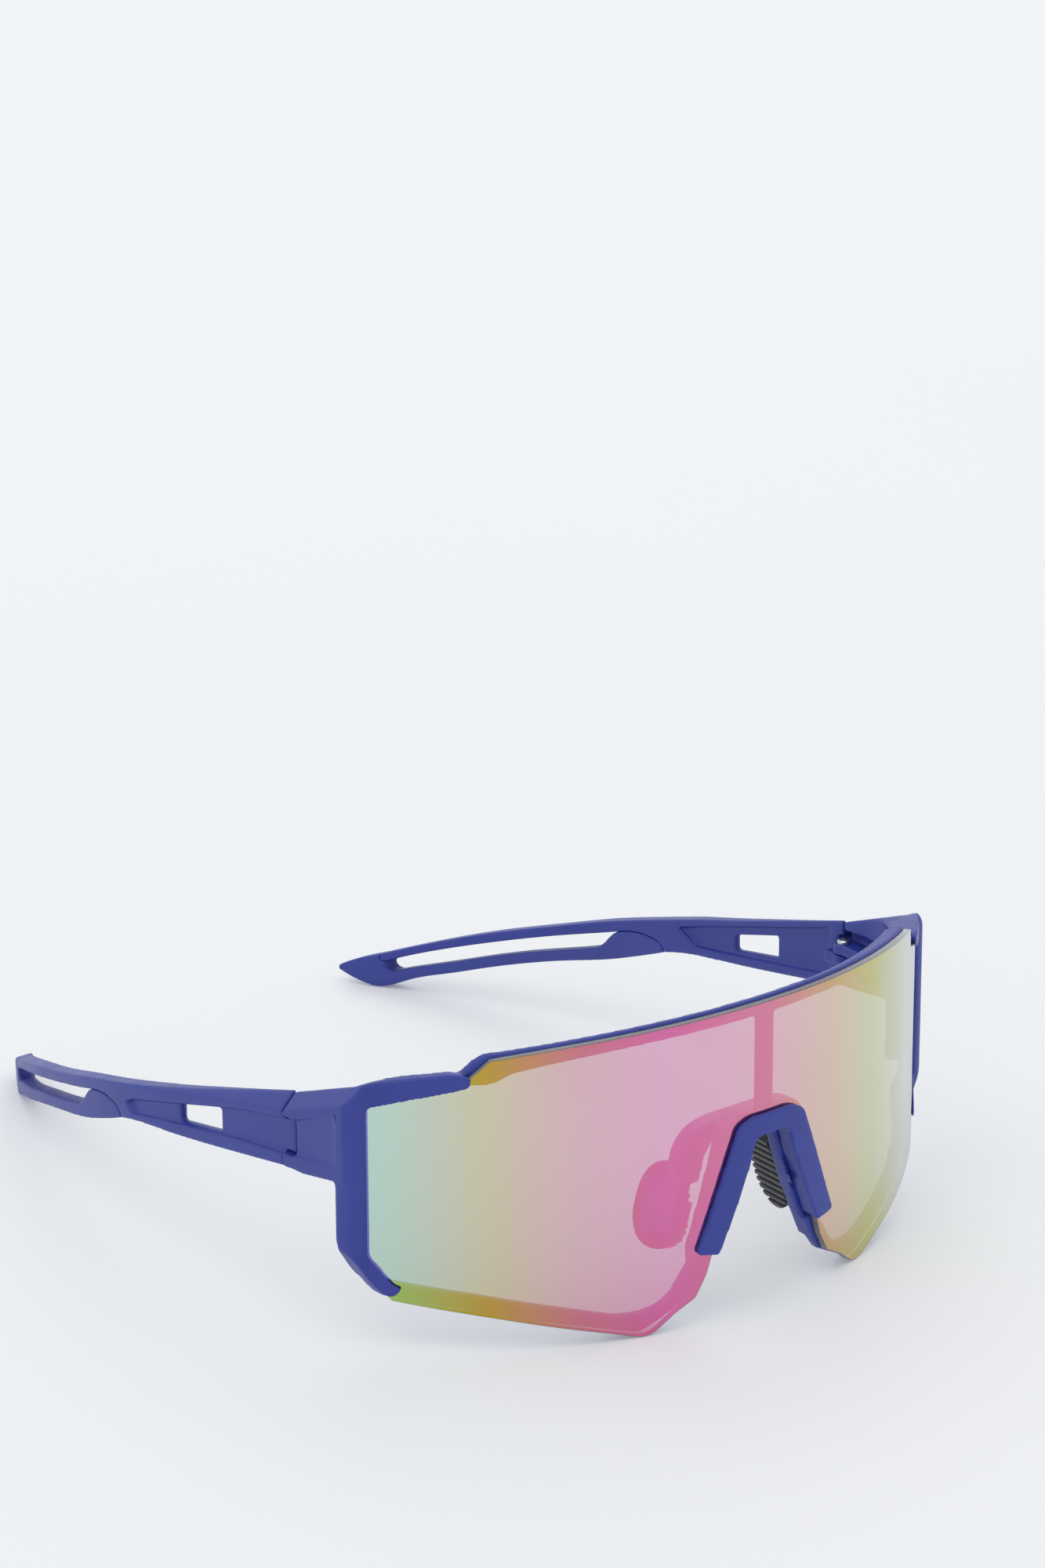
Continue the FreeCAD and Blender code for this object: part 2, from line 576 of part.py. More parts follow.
def pad_point(u, v, w):
    """u runs back, v up, w outwards from the pad's middle."""
    q = PR.multVec(V(w, u, v))
    return (PX + q.x, PY + q.y, PZ + q.z)


pad_body = doc.addObject("PartDesign::Body", "left_nose_pad")
pad_sketch = pad_body.newObject("Sketcher::SketchObject", "pad_outline")
pad_plane = [f for f in pad_body.Origin.OriginFeatures if f.Role == "YZ_Plane"][0]
pad_sketch.AttachmentSupport = [(pad_plane, "")]
pad_sketch.MapMode = "FlatFace"
curve = Part.BSplineCurve()
curve.interpolate([V(u, v, 0) for u, v in [
    (-4.9, -4.4), (-3.2, -7.1), (0.4, -8.2), (3.8, -7.1), (5.6, -3.6), (5.3, 1.0), (3.9, 5.0),
    (1.4, 7.6), (-1.8, 8.2), (-4.2, 6.2), (-5.2, 1.5)]], PeriodicFlag=True)
pad_sketch.addGeometry(curve, False)
doc.recompute()
pad_pad = pad_body.newObject("PartDesign::Pad", "pad_block")
pad_pad.Profile = pad_sketch
pad_pad.Midplane = True
pad_pad.setExpression("Length", "Sizes.pad_thick")
doc.recompute()
rib_sketch = pad_body.newObject("Sketcher::SketchObject", "pad_grooves")
rib_plane = [f for f in pad_body.Origin.OriginFeatures if f.Role == "XZ_Plane"][0]
rib_sketch.AttachmentSupport = [(rib_plane, "")]
rib_sketch.MapMode = "FlatFace"
k = 0
for i in range(11):
    v0 = -7.2 + 1.4 * i
    pts = [(-PT / 2 - 0.5, v0), (-PT / 2 + 0.6, v0), (-PT / 2 + 0.6, v0 + 0.5), (-PT / 2 - 0.5, v0 + 0.5)]
    for a in range(4):
        rib_sketch.addGeometry(Part.LineSegment(V(*pts[a], 0), V(*pts[(a + 1) % 4], 0)), False)
    for a in range(4):
        rib_sketch.addConstraint(Sketcher.Constraint("Coincident", k + a, 2, k + (a + 1) % 4, 1))
    k += 4
doc.recompute()
before = pad_pad.Shape.Volume
ribs = pad_body.newObject("PartDesign::Pocket", "pad_ribs")
ribs.Profile = rib_sketch
ribs.Type = "ThroughAll"
ribs.Midplane = True
pad_body.Tip = ribs
doc.recompute()
if not ribs.Shape.Volume < before - 1.0:
    raise RuntimeError("the pad's grooves cut nothing")
pad_body.Placement = FreeCAD.Placement(V(PX, PY, PZ), PR)
bind(pad_body, Placement__Base__x="Sizes.pad_x", Placement__Base__y="Sizes.pad_y - Sizes.origin_y",
     Placement__Base__z="Sizes.pad_z")

saddle = common(
    "saddle_arch",
    front_prism("saddle_prism", mirrored([
        (0, 36.9), (3.5, 36.9), ("S", [(7.6, 36.8), (10.2, 36.4), (12.6, 35.4), (14.5, 33.7), (15.6, 31.8), (16.0, 29.8), (15.9, 27.6)]),
        (10.4, 27.6), ("S", [(10.2, 29.6), (9.2, 31.6), (7.6, 33.2), (5.2, 34.2)]), (0, 34.6)]), -12.0),
    cylinder("saddle_front", "Sizes.lens_radius - Sizes.lens_thick - Sizes.lens_fit - Sizes.arch_depth - 0.02",
             "Sizes.reach", y="Sizes.lens_axis_y", z="-4"),
    box("saddle_depth", (-30, -20, 0), (30, 4.7, 60)),
)


def ring(cx, cy, cz, hx, hy):
    return Part.makePolygon([V(cx - hx, cy - hy, cz), V(cx + hx, cy - hy, cz), V(cx + hx, cy + hy, cz),
                             V(cx - hx, cy + hy, cz), V(cx - hx, cy - hy, cz)])


limb = doc.addObject("Part::Feature", "bracket_limb")
limb.Shape = Part.makeLoft([ring(12.4, 3.2, 31.0, 3.2, 1.4), ring(13.1, 3.9, 26.0, 2.6, 2.0),
                            ring(14.1, 5.3, 21.5, 2.3, 3.3), ring(15.5, 5.6, 16.5, 2.0, 3.6)], True, False)
limb_window = box("bracket_window", (10.5, 1.4, 21.4), (13.1, 3.6, 25.2))
plate = doc.addObject("Part::Box", "bracket_plate")
plate.Length, plate.Width, plate.Height = 1.3, 6.4, 10.0
plate.Placement = FreeCAD.Placement(V(*pad_point(-3.2, -5.0, PT / 2 + 0.02)), PR)
peg = doc.addObject("Part::Box", "bracket_peg")
peg.Length, peg.Width, peg.Height = 1.6, 2.2, 4.0
peg.Placement = FreeCAD.Placement(V(*pad_point(-1.1, -2.5, PT / 2 - 1.3)), PR)
pad_space = doc.addObject("Part::Box", "pad_space")
pad_space.Length, pad_space.Width, pad_space.Height = 6.0, 16.0, 22.0
pad_space.Placement = FreeCAD.Placement(V(*pad_point(-5.4, -11.0, PT / 2 + 0.02 - 6.0)), PR)
limb_trimmed = cut("limb_trimmed", limb, pad_space, limb_window)
side_bracket = fuse("bracket_side", limb_trimmed, plate, peg)
bracket = fuse("nose_bracket", saddle, side_bracket, mirror("bracket_other", side_bracket))

pad_cut = doc.addObject("Part::Cut", "left_pad_socketed")
peg_moved = doc.addObject("Part::Box", "peg_socket")
peg_moved.Length, peg_moved.Width, peg_moved.Height = 1.6, 2.2, 4.0
doc.recompute()
pp = pad_point(-1.1, -2.5, PT / 2 - 1.3)
peg_moved.Placement = FreeCAD.Placement(V(pp[0], pp[1] - val("origin_y"), pp[2]), PR)
pad_cut.Base, pad_cut.Tool = pad_body, peg_moved

# ---------------------------------------------------------------- placements and mirrored twins
doc.recompute()
NODES = {}
for o in (lens, clip, frame, bracket, left_arm, left_tip):
    bind(o, Placement__Base__y="-Sizes.origin_y")
NODES["shield_lens"], NODES["nose_bridge_clip"], NODES["front_frame"], NODES["nose_bracket"] = lens, clip, frame, bracket
for name, o in (("temple_arm", left_arm), ("temple_tip", left_tip), ("hinge_screw", left_screw),
                ("hinge_insert", left_insert), ("nose_pad", pad_cut)):
    NODES["left_" + name] = o
    NODES["right_" + name] = mirror("right_" + name, o)
for name, o in NODES.items():
    if name == "left_nose_pad":
        pad_body.Label = "left_pad_rubber"
    o.Label = name
doc.recompute()

# ---------------------------------------------------------------- checks and export
bad = [o.Name for o in doc.Objects if any(w in s for s in o.State for w in ("Invalid", "Error"))]
if bad:
    raise RuntimeError("failed objects: %s" % bad)
os.makedirs("parts", exist_ok=True)
whole = None
for name, o in sorted(NODES.items()):
    shape = o.Shape
    if shape.isNull() or not shape.isValid():
        raise RuntimeError("%s has no valid shape" % name)
    if o.Label != name:
        raise RuntimeError("label %s is not %s" % (o.Label, name))
    b = shape.BoundBox
    print("%-20s solids %d  volume %8.1f  x %6.1f..%6.1f  y %6.1f..%6.1f  z %5.1f..%5.1f" % (
        name, len(shape.Solids), shape.Volume, b.XMin, b.XMax, b.YMin, b.YMax, b.ZMin, b.ZMax))
    shape.exportStep("parts/%s.step" % name)
    whole = b if whole is None else whole.united(b)
print("whole: x %.3f..%.3f  y %.3f..%.3f  z %.3f..%.3f" % (
    whole.XMin, whole.XMax, whole.YMin, whole.YMax, whole.ZMin, whole.ZMax))
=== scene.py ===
import math

import bmesh
import bpy
import numpy as np
from mathutils import Matrix, Vector
from mathutils.geometry import delaunay_2d_cdt


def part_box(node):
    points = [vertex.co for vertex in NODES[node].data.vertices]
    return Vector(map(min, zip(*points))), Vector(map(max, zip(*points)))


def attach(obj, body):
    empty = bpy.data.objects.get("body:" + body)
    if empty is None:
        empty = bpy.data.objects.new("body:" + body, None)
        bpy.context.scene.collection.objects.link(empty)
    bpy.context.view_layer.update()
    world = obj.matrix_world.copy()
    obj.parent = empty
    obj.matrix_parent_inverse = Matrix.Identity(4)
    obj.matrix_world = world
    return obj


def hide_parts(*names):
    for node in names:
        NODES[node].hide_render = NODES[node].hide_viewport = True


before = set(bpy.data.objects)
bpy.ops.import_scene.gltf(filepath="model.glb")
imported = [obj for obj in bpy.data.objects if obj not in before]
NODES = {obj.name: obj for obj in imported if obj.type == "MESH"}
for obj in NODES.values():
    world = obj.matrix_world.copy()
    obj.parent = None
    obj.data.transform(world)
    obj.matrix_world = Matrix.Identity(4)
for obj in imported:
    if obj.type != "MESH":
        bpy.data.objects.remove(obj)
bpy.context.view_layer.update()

# Wraparound sport sunglasses. Metres, in the CAD frame: +X to the wearer's left, -Y to the front.
scene = bpy.context.scene
LENS_R = 0.086
LENS_T = 0.0014
LENS_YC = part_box("shield_lens")[0].y + LENS_R


# ---------------------------------------------------------------- node helpers
class Tree:
    """A small helper that builds one material."""

    def __init__(self, name):
        self.mat = bpy.data.materials.new(name)
        self.mat.use_nodes = True
        self.nt = self.mat.node_tree
        self.nt.nodes.clear()
        self.out = self.add("ShaderNodeOutputMaterial")

    def add(self, kind, **props):
        n = self.nt.nodes.new(kind)
        for k, v in props.items():
            setattr(n, k, v)
        return n

    def link(self, a, b):
        self.nt.links.new(a, b)

    def coords(self):
        return self.add("ShaderNodeTexCoord").outputs["Object"]

    def noise(self, scale, detail=3.0, rough=0.55, vector=None):
        n = self.add("ShaderNodeTexNoise")
        n.inputs["Scale"].default_value = scale
        n.inputs["Detail"].default_value = detail
        n.inputs["Roughness"].default_value = rough
        self.link(vector or self.coords(), n.inputs["Vector"])
        return n.outputs["Fac"]

    def ramp(self, value, stops, mode="LINEAR"):
        r = self.add("ShaderNodeValToRGB")
        r.color_ramp.interpolation = mode
        els = r.color_ramp.elements
        while len(els) < len(stops):
            els.new(0.5)
        for e, (p, c) in zip(els, stops):
            e.position = p
            e.color = (c[0], c[1], c[2], 1.0) if len(c) == 3 else c
        self.link(value, r.inputs["Fac"])
        return r.outputs["Color"]

    def map_range(self, value, a, b, c, d):
        m = self.add("ShaderNodeMapRange")
        for k, v in zip(("From Min", "From Max", "To Min", "To Max"), (a, b, c, d)):
            m.inputs[k].default_value = v
        self.link(value, m.inputs["Value"])
        return m.outputs["Result"]

    def maths(self, op, a, b):
        m = self.add("ShaderNodeMath", operation=op)
        for i, v in enumerate((a, b)):
            if isinstance(v, (int, float)):
                m.inputs[i].default_value = v
            else:
                self.link(v, m.inputs[i])
        return m.outputs[0]

    def bump(self, height, strength, distance):
        b = self.add("ShaderNodeBump")
        b.inputs["Strength"].default_value = strength
        b.inputs["Distance"].default_value = distance
        self.link(height, b.inputs["Height"])
        return b.outputs["Normal"]

    def mix(self, factor, a, b):
        m = self.add("ShaderNodeMix", data_type="RGBA")
        if isinstance(factor, (int, float)):
            m.inputs[0].default_value = factor
        else:
            self.link(factor, m.inputs[0])
        for sock, v in ((m.inputs[6], a), (m.inputs[7], b)):
            if isinstance(v, tuple):
                sock.default_value = (v[0], v[1], v[2], 1.0)
            else:
                self.link(v, sock)
        return m.outputs[2]


def lin(r, g, b):
    f = lambda c: c / 255 / 12.92 if c <= 10.3 else ((c / 255 + 0.055) / 1.055) ** 2.4
    return (f(r), f(g), f(b))


def moulded_plastic(name, low, high, rough_low, rough_high, grain=0.10, coat=0.0, sheen=0.0):
    """Satin moulded plastic: slow colour variation, fine texture grain, handled-smooth patches."""
    t = Tree(name)
    p = t.add("ShaderNodeBsdfPrincipled")
    xyz = t.coords()
    slow = t.noise(42.0, 2.0, 0.5, xyz)
    fine = t.noise(2600.0, 2.0, 0.6, xyz)
    flow = t.noise(160.0, 3.0, 0.5, xyz)
    t.link(t.ramp(t.maths("ADD", t.maths("MULTIPLY", slow, 0.7), t.maths("MULTIPLY", flow, 0.3)),
                  [(0.34, low), (0.66, high)]), p.inputs["Base Color"])
    t.link(t.map_range(t.maths("ADD", t.maths("MULTIPLY", flow, 0.6), t.maths("MULTIPLY", fine, 0.4)),
                       0.3, 0.7, rough_low, rough_high), p.inputs["Roughness"])
    t.link(t.bump(fine, grain, 0.00006), p.inputs["Normal"])
    p.inputs["Specular IOR Level"].default_value = 0.5
    if coat:
        p.inputs["Coat Weight"].default_value = coat
        p.inputs["Coat Roughness"].default_value = 0.35
    if sheen:
        p.inputs["Sheen Weight"].default_value = sheen
        p.inputs["Sheen Roughness"].default_value = 0.45
    t.link(p.outputs[0], t.out.inputs["Surface"])
    return t.mat


BLUE_LOW, BLUE_HIGH = (0.016, 0.031, 0.262), (0.023, 0.042, 0.300)
frame_mat = moulded_plastic("frame_satin_plastic", BLUE_LOW, BLUE_HIGH, 0.36, 0.47)
clip_mat = moulded_plastic("clip_satin_plastic", (0.017, 0.033, 0.268), (0.024, 0.044, 0.306), 0.34, 0.45)
arm_mat = moulded_plastic("arm_satin_plastic", BLUE_LOW, BLUE_HIGH, 0.36, 0.47)
tip_mat = moulded_plastic("tip_soft_rubber", (0.022, 0.038, 0.262), (0.030, 0.049, 0.300), 0.44, 0.56, grain=0.2, sheen=0.05)
bracket_mat = moulded_plastic("bracket_satin_plastic", (0.014, 0.027, 0.240), (0.020, 0.037, 0.276), 0.36, 0.47)


def pad_rubber():
    """Matte black ribbed rubber with a grey sheen and fine dusting."""
    t = Tree("nose_pad_rubber")
    p = t.add("ShaderNodeBsdfPrincipled")
    xyz = t.coords()
    patch, fine = t.noise(260.0, 4.0, 0.6, xyz), t.noise(3200.0, 2.0, 0.6, xyz)
    t.link(t.ramp(patch, [(0.32, (0.012, 0.012, 0.014)), (0.7, (0.026, 0.026, 0.029))]), p.inputs["Base Color"])
    t.link(t.map_range(fine, 0.3, 0.7, 0.42, 0.58), p.inputs["Roughness"])
    t.link(t.bump(fine, 0.25, 0.00008), p.inputs["Normal"])
    p.inputs["Sheen Weight"].default_value = 0.12
    p.inputs["Sheen Roughness"].default_value = 0.5
    t.link(p.outputs[0], t.out.inputs["Surface"])
    return t.mat


def metal(name, low, high, rough):
    """Machined metal: fine turning marks round the vertical axis."""
    t = Tree(name)
    p = t.add("ShaderNodeBsdfPrincipled")
    p.inputs["Metallic"].default_value = 1.0
    xyz = t.coords()
    m = t.add("ShaderNodeMapping")
    m.inputs["Scale"].default_value = (1.0, 1.0, 9.0)
    t.link(xyz, m.inputs["Vector"])
    marks = t.noise(2400.0, 3.0, 0.6, m.outputs[0])
    t.link(t.ramp(marks, [(0.3, low), (0.7, high)]), p.inputs["Base Color"])
    t.link(t.map_range(marks, 0.3, 0.7, rough - 0.07, rough + 0.1), p.inputs["Roughness"])
    t.link(t.bump(marks, 0.2, 0.00004), p.inputs["Normal"])
    t.link(p.outputs[0], t.out.inputs["Surface"])
    return t.mat


# ---------------------------------------------------------------- lens coating
# Along the shield, in millimetres from the middle: the colour seen against white, and against dark.
BANDS = [
    (-66, (180, 205, 200), (150, 185, 110)),
    (-52, (200, 195, 170), (180, 150, 75)),
    (-38, (210, 180, 190), (195, 120, 140)),
    (-24, (215, 175, 200), (205, 110, 165)),
    (0, (215, 180, 195), (205, 130, 160)),
    (16, (210, 190, 180), (195, 165, 135)),
    (31, (200, 205, 180), (190, 190, 145)),
    (48, (215, 215, 215), (205, 210, 210)),
]
WHITE, DARK, SKY = (0.860, 0.875, 0.905), (0.035, 0.045, 0.17), (0.860, 0.875, 0.905)


def coating():
    t = Tree("lens_mirror_coating")
    split = t.add("ShaderNodeSeparateXYZ")
    t.link(t.coords(), split.inputs[0])
    where = t.map_range(split.outputs["X"], -0.070, 0.070, 0.0, 1.0)
    # the coating's thickness wanders a little, so its bands do too
    wander = t.map_range(t.noise(14.0, 2.0, 0.5), 0.0, 1.0, -0.010, 0.010)
    where = t.maths("ADD", where, wander)
    passed, thrown = [], []
    for x, over_white, over_dark in BANDS:
        w, d = lin(*over_white), lin(*over_dark)
        share = [min(0.95, max(0.02, (a - b) / (c - e))) for a, b, c, e in zip(w, d, WHITE, DARK)]
        mirror = [min(0.98, max(0.0, (a - s * c) / k)) for a, s, c, k in zip(w, share, WHITE, SKY)]
        at = (x + 70) / 140
        passed.append((at, tuple(share)))
        thrown.append((at, tuple(mirror)))
    clear = t.add("ShaderNodeBsdfTransparent")
    t.link(t.ramp(where, passed), clear.inputs["Color"])
    shine = t.add("ShaderNodeBsdfAnisotropic")
    t.link(t.ramp(where, thrown), shine.inputs["Color"])
    smudge = t.map_range(t.noise(90.0, 4.0, 0.6), 0.35, 0.75, 0.03, 0.06)
    t.link(smudge, shine.inputs["Roughness"])
    both = t.add("ShaderNodeAddShader")
    t.link(clear.outputs[0], both.inputs[0])
    t.link(shine.outputs[0], both.inputs[1])
    t.link(both.outputs[0], t.out.inputs["Surface"])
    return t.mat


def clear_face():
    """The lens's inner face: clear, with a weak reflection."""
    t = Tree("lens_inner_face")
    clear = t.add("ShaderNodeBsdfTransparent")
    t.link(t.ramp(t.noise(60.0), [(0.3, (0.975, 0.975, 0.985)), (0.7, (0.995, 0.995, 1.0))]), clear.inputs["Color"])
    shine = t.add("ShaderNodeBsdfAnisotropic")
    t.link(t.map_range(t.noise(110.0), 0.3, 0.7, 0.04, 0.09), shine.inputs["Roughness"])
    both = t.add("ShaderNodeMixShader")
    t.link(t.map_range(t.noise(75.0), 0.3, 0.7, 0.012, 0.025), both.inputs[0])
    t.link(clear.outputs[0], both.inputs[1])
    t.link(shine.outputs[0], both.inputs[2])
    t.link(both.outputs[0], t.out.inputs["Surface"])
    return t.mat


def cut_edge():
    """The lens's cut edge: dark tinted substrate through the middle, slightly frosted, with painted highlights paler
    towards both ends.
    """
    t = Tree("lens_cut_edge_painted_highlights")
    p = t.add("ShaderNodeBsdfPrincipled")
    split = t.add("ShaderNodeSeparateXYZ")
    t.link(t.coords(), split.inputs[0])
    along = t.maths("ADD", t.map_range(split.outputs["X"], -0.07, 0.07, 0.0, 1.0),
                    t.map_range(t.noise(900.0), 0.3, 0.7, -0.02, 0.02))
    # painted highlights: the edge colour is dark through the middle and paler towards both ends
    t.link(t.ramp(along, [(0.0, (0.50, 0.52, 0.52)), (0.10, (0.16, 0.17, 0.17)), (0.6, (0.13, 0.12, 0.15)),
                          (0.80, (0.30, 0.31, 0.33)), (0.93, (0.66, 0.68, 0.70))]), p.inputs["Base Color"])
    t.link(t.map_range(t.noise(1500.0), 0.3, 0.7, 0.22, 0.42), p.inputs["Roughness"])
    t.link(p.outputs[0], t.out.inputs["Surface"])
    return t.mat


# ---------------------------------------------------------------- mesh helpers
def welded_copy(node):
    me = NODES[node].data.copy()
    bm = bmesh.new()
    bm.from_mesh(me)
    bmesh.ops.remove_doubles(bm, verts=bm.verts, dist=2e-7)
    bmesh.ops.triangulate(bm, faces=bm.faces)
    bm.to_mesh(me)
    bm.free()
    me.materials.clear()
    return me


def smooth_points(me, steps, amount=0.5):
    """Plain neighbour averaging on the mesh's points."""
    n = len(me.vertices)
    co = np.zeros(n * 3, np.float64)
    me.vertices.foreach_get("co", co)
    co = co.reshape(-1, 3)
    ed = np.zeros(len(me.edges) * 2, np.int64)
    me.edges.foreach_get("vertices", ed)
    a, b = ed.reshape(-1, 2).T
    count = (np.bincount(a, minlength=n) + np.bincount(b, minlength=n)).astype(float)[:, None]
    for _ in range(steps):
        total = np.stack([np.bincount(a, co[b, k], n) + np.bincount(b, co[a, k], n) for k in range(3)], 1)
        co += amount * (total / np.maximum(count, 1) - co)
    me.vertices.foreach_set("co", co.ravel().astype(np.float32))
    me.update()


def rounded(node, name, body, mat, voxel, steps, ratio, fair=2):
    """The node's shape with the softly rounded edges of a moulding."""
    o = bpy.data.objects.new(name, welded_copy(node))
    scene.collection.objects.link(o)
    m = o.modifiers.new("voxels", "REMESH")
    m.mode, m.voxel_size, m.adaptivity = "VOXEL", voxel, 0.0
    bpy.context.view_layer.update()
    me = bpy.data.meshes.new_from_object(o.evaluated_get(bpy.context.evaluated_depsgraph_get()))
    o.modifiers.clear()
    o.data = me
    smooth_points(me, steps)
    if ratio < 1:
        m = o.modifiers.new("fewer", "DECIMATE")
        m.ratio = ratio
        bpy.context.view_layer.update()
        me = bpy.data.meshes.new_from_object(o.evaluated_get(bpy.context.evaluated_depsgraph_get()))
        o.modifiers.clear()
        o.data = me
        smooth_points(me, fair, 0.3)
    bm = bmesh.new()
    bm.from_mesh(me)
    bmesh.ops.dissolve_degenerate(bm, dist=1e-7, edges=bm.edges)
    loose = [v for v in bm.verts if not v.link_faces]
    bmesh.ops.delete(bm, geom=loose, context="VERTS")
    bm.to_mesh(me)
    bm.free()
    me.name = name
    me.materials.clear()
    me.materials.append(mat)
    me.shade_smooth()
    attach(o, body)
    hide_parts(node)
    return o


def inside_box(o, node):
    """Draws points that smoothing pushed out back to the CAD node's box."""
    lo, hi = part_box(node)
    for v in o.data.vertices:
        for k in range(3):
            v.co[k] = min(hi[k], max(lo[k], v.co[k]))


# ---------------------------------------------------------------- the lens as one smooth bent sheet
def lens_outline():
    me = NODES["shield_lens"].data
    co = np.array([v.co for v in me.vertices], float).reshape(-1, 3)
    on = np.abs(np.hypot(co[:, 0], co[:, 1] - LENS_YC) - LENS_R) < 3e-5
    keys = [tuple(np.round(c / 2e-7).astype(int)) for c in co]
    first = {}
    same = [first.setdefault(k, i) for i, k in enumerate(keys)]
    seen = {}
    for p in me.polygons:
        vs = list(p.vertices)
        if all(on[i] for i in vs):
            vs = [same[i] for i in vs]
            for i in range(len(vs)):
                e = (vs[i], vs[(i + 1) % len(vs)])
                seen[tuple(sorted(e))] = seen.get(tuple(sorted(e)), 0) + 1
    step = {}
    for (a, b), n in seen.items():
        if n == 1:
            step.setdefault(a, []).append(b)
            step.setdefault(b, []).append(a)
    start = min(step, key=lambda i: (co[i][2], co[i][0]))
    ring, last, here = [start], None, start
    while True:
        nxt = [i for i in step[here] if i != last]
        if not nxt or nxt[0] == start:
            break
        last, here = here, nxt[0]
        ring.append(here)
    out = [(LENS_R * math.atan2(co[i][0], LENS_YC - co[i][1]), co[i][2]) for i in ring]
    area = sum(out[i][0] * out[(i + 1) % len(out)][1] - out[(i + 1) % len(out)][0] * out[i][1] for i in range(len(out)))
    return out if area > 0 else out[::-1]


def densified(ring, longest):
    out = []
    for i, a in enumerate(ring):
        b = ring[(i + 1) % len(ring)]
        n = max(1, math.ceil(math.dist(a, b) / longest))
        out += [(a[0] + (b[0] - a[0]) * k / n, a[1] + (b[1] - a[1]) * k / n) for k in range(n)]
    return out


def make_lens():
    ring = densified(lens_outline(), 0.0012)
    poly = np.array(ring)
    pitch = 0.0014
    inner = []
    for s in np.arange(poly[:, 0].min() + pitch / 2, poly[:, 0].max(), pitch):
        for z in np.arange(poly[:, 1].min() + pitch / 2, poly[:, 1].max(), pitch):
            x1, y1 = poly[:, 0], poly[:, 1]
            x2, y2 = np.roll(x1, -1), np.roll(y1, -1)
            cross = ((y1 > z) != (y2 > z)) & (s < (x2 - x1) * (z - y1) / (y2 - y1 + 1e-15) + x1)
            if cross.sum() % 2 == 1 and np.min((x1 - s) ** 2 + (y1 - z) ** 2) > (0.7 * pitch) ** 2:
                inner.append((s, z))
    pts = [Vector(p) for p in ring + inner]
    edges = [(i, (i + 1) % len(ring)) for i in range(len(ring))]
    vs, _es, fs = delaunay_2d_cdt(pts, edges, [], 1, 1e-8)[:3]
    n = len(vs)
    at = lambda s, z, r: (r * math.sin(s / LENS_R), LENS_YC - r * math.cos(s / LENS_R), z)
    verts = [at(v[0], v[1], LENS_R) for v in vs] + [at(v[0], v[1], LENS_R - LENS_T) for v in vs]
    faces, mats, count = [], [], {}
    for f in fs:
        a, b, c = (vs[i] for i in f)
        if (b - a).cross(c - a) < 0:
            f = f[::-1]
        faces.append(list(f)); mats.append(0)
        faces.append([i + n for i in reversed(f)]); mats.append(1)
        for i in range(3):
            count[(f[i], f[(i + 1) % 3])] = 1
    for a, b in list(count):
        if (b, a) not in count:
            faces.append([b, a, a + n, b + n]); mats.append(2)
    me = bpy.data.meshes.new("shield_lens_look")
    me.from_pydata(verts, [], faces)
    me.validate()
    for m in (coating(), clear_face(), cut_edge()):
        me.materials.append(m)
    me.polygons.foreach_set("material_index", mats)
    me.shade_smooth()
    me.set_sharp_from_angle(angle=math.radians(35))
    o = bpy.data.objects.new("shield_lens_look", me)
    scene.collection.objects.link(o)
    m = o.modifiers.new("edge", "BEVEL")
    m.width, m.segments, m.limit_method, m.angle_limit = 0.00018, 2, "ANGLE", math.radians(50)
    m.material = 2
    bpy.context.view_layer.update()
    made = bpy.data.meshes.new_from_object(o.evaluated_get(bpy.context.evaluated_depsgraph_get()))
    o.modifiers.clear()
    o.data = made
    made.shade_smooth()
    made.set_sharp_from_angle(angle=math.radians(35))
    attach(o, "front")
    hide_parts("shield_lens")
    return o


lens = make_lens()

# ---------------------------------------------------------------- moulded parts
Q = 1.0
front = rounded("front_frame", "front_frame_look", "front", frame_mat, 0.00026 * Q, 9, 0.45)
clip = rounded("nose_bridge_clip", "nose_bridge_clip_look", "front", clip_mat, 0.00020 * Q, 8, 0.5)
bracket = rounded("nose_bracket", "nose_bracket_look", "front", bracket_mat, 0.00022 * Q, 9, 0.5)
pad_mat = pad_rubber()
for side in ("left", "right"):
    rounded(side + "_nose_pad", side + "_nose_pad_look", "front", pad_mat, 0.00014 * Q, 4, 0.6)
    rounded(side + "_temple_arm", side + "_temple_arm_look", side + "_temple", arm_mat, 0.00024 * Q, 10, 0.5)
    rounded(side + "_temple_tip", side + "_temple_tip_look", side + "_temple", tip_mat, 0.00024 * Q, 10, 0.5)

steel = metal("screw_steel", (0.52, 0.52, 0.54), (0.70, 0.70, 0.71), 0.28)
brass = metal("insert_brass", (0.60, 0.42, 0.17), (0.78, 0.58, 0.28), 0.30)
for side in ("left", "right"):
    for kind, mat in (("_hinge_screw", steel), ("_hinge_insert", brass)):
        o = NODES[side + kind]
        if not o.material_slots:
            o.data.materials.append(mat)
        for s in o.material_slots:
            s.material = mat

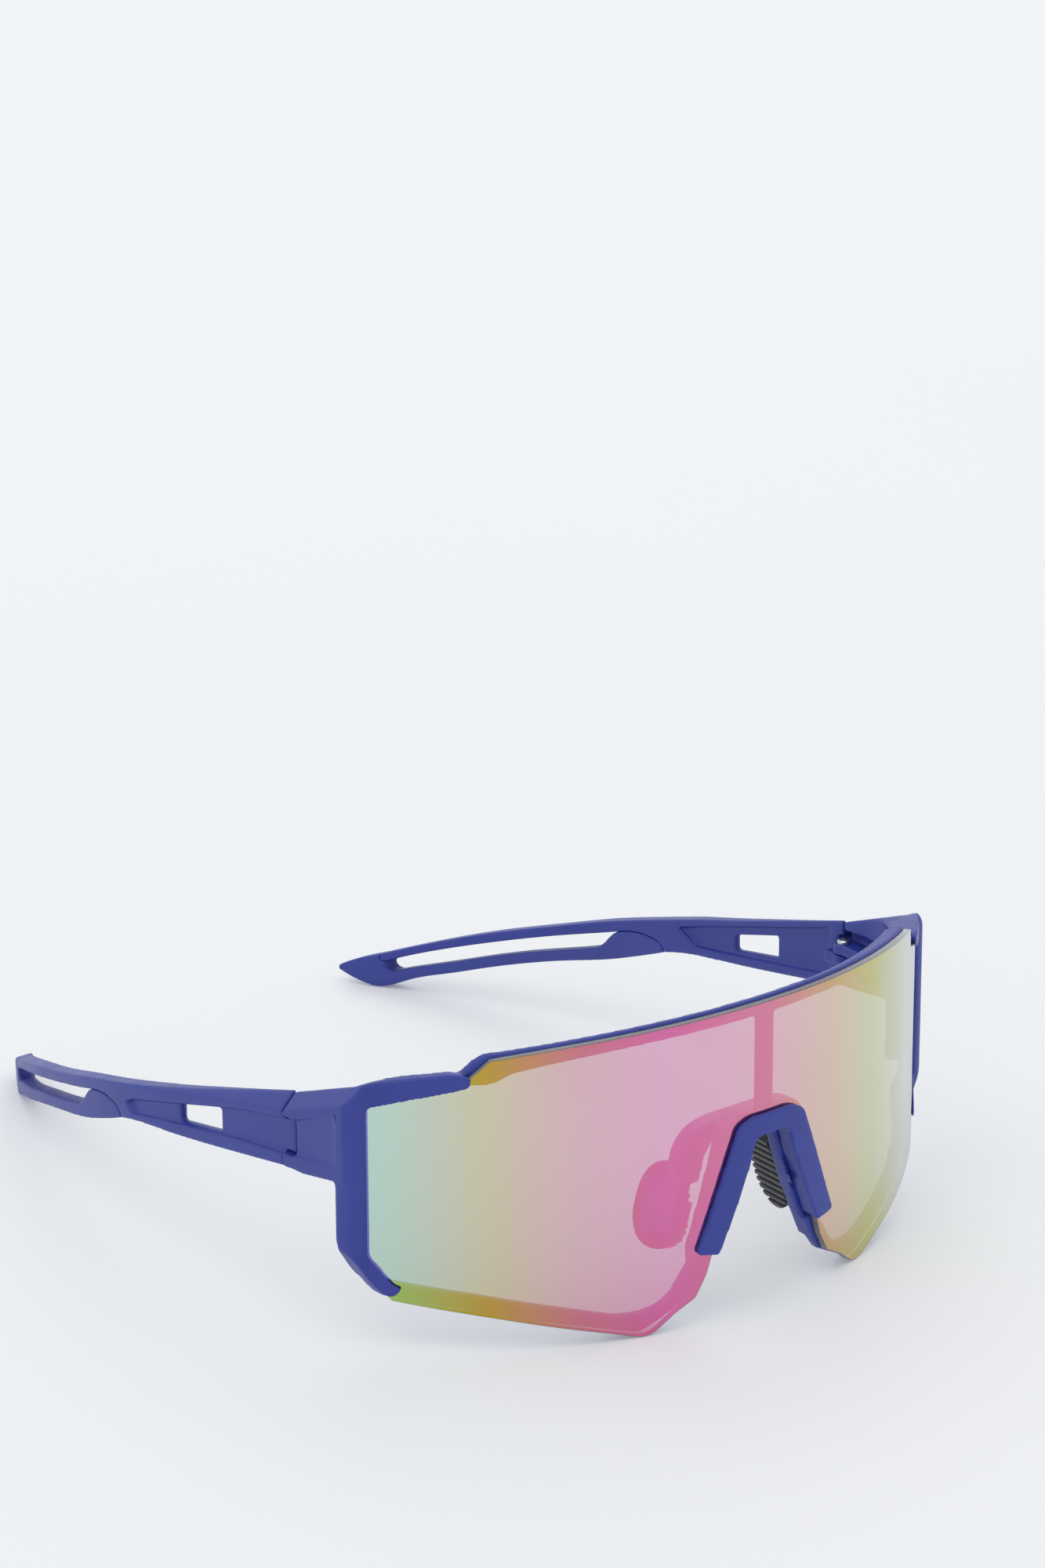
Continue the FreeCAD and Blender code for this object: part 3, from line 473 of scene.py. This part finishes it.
# ---------------------------------------------------------------- floor, light, camera
t = Tree("studio_floor")
p = t.add("ShaderNodeBsdfPrincipled")
t.link(t.ramp(t.noise(1.3, 3.0), [(0.3, (0.680, 0.688, 0.700)), (0.7, (0.692, 0.700, 0.712))]), p.inputs["Base Color"])
t.link(t.map_range(t.noise(3.0), 0.3, 0.7, 0.55, 0.65), p.inputs["Roughness"])
p.inputs["Specular IOR Level"].default_value = 0.06
# painted light: the floor glows faintly, which lightens the shadows cast on it and adds a little light from below
p.inputs["Emission Color"].default_value = (0.955, 0.975, 1.0, 1.0)
p.inputs["Emission Strength"].default_value = 0.185
t.link(p.outputs[0], t.out.inputs["Surface"])
me = bpy.data.meshes.new("floor")
me.from_pydata([(-9, -9, 0), (9, -9, 0), (9, 9, 0), (-9, 9, 0)], [], [(0, 1, 2, 3)])
me.materials.append(t.mat)
floor = bpy.data.objects.new("floor", me)
scene.collection.objects.link(floor)

world = bpy.data.worlds.new("studio")
scene.world = world
world.use_nodes = True
world.node_tree.nodes["Background"].inputs["Color"].default_value = (0.975, 0.988, 1.0, 1.0)
world.node_tree.nodes["Background"].inputs["Strength"].default_value = 0.88


def area(name, where, target, size, power, colour=(1, 1, 1)):
    d = bpy.data.lights.new(name, "AREA")
    d.shape, d.size, d.energy, d.color = "DISK", size, power, colour
    o = bpy.data.objects.new(name, d)
    o.location = where
    o.rotation_euler = (Vector(target) - Vector(where)).to_track_quat("-Z", "Y").to_euler()
    scene.collection.objects.link(o)
    return o


area("overhead", (-0.9, -0.3, 2.5), (0, 0.0, 0), 2.0, 8.5)

area("behind", (1.1, 1.4, 1.45), (0, -0.15, 0.02), 1.4, 4.5)

cam_data = bpy.data.cameras.new("camera")
cam_data.lens = 108.0025
cam_data.sensor_width = 36.0
cam_data.clip_start = 0.01
cam = bpy.data.objects.new("camera", cam_data)
fwd = Vector((0.60308, 0.73031, -0.32083)).normalized()
up = Vector((0.20747, 0.24474, 0.94713))
right = fwd.cross(up).normalized()
up = right.cross(fwd).normalized()
cam.matrix_world = Matrix(((right.x, up.x, -fwd.x, -0.53800), (right.y, up.y, -fwd.y, -0.67163),
                           (right.z, up.z, -fwd.z, 0.36941), (0, 0, 0, 1)))
scene.collection.objects.link(cam)
scene.camera = cam
scene.view_settings.view_transform = "Standard"
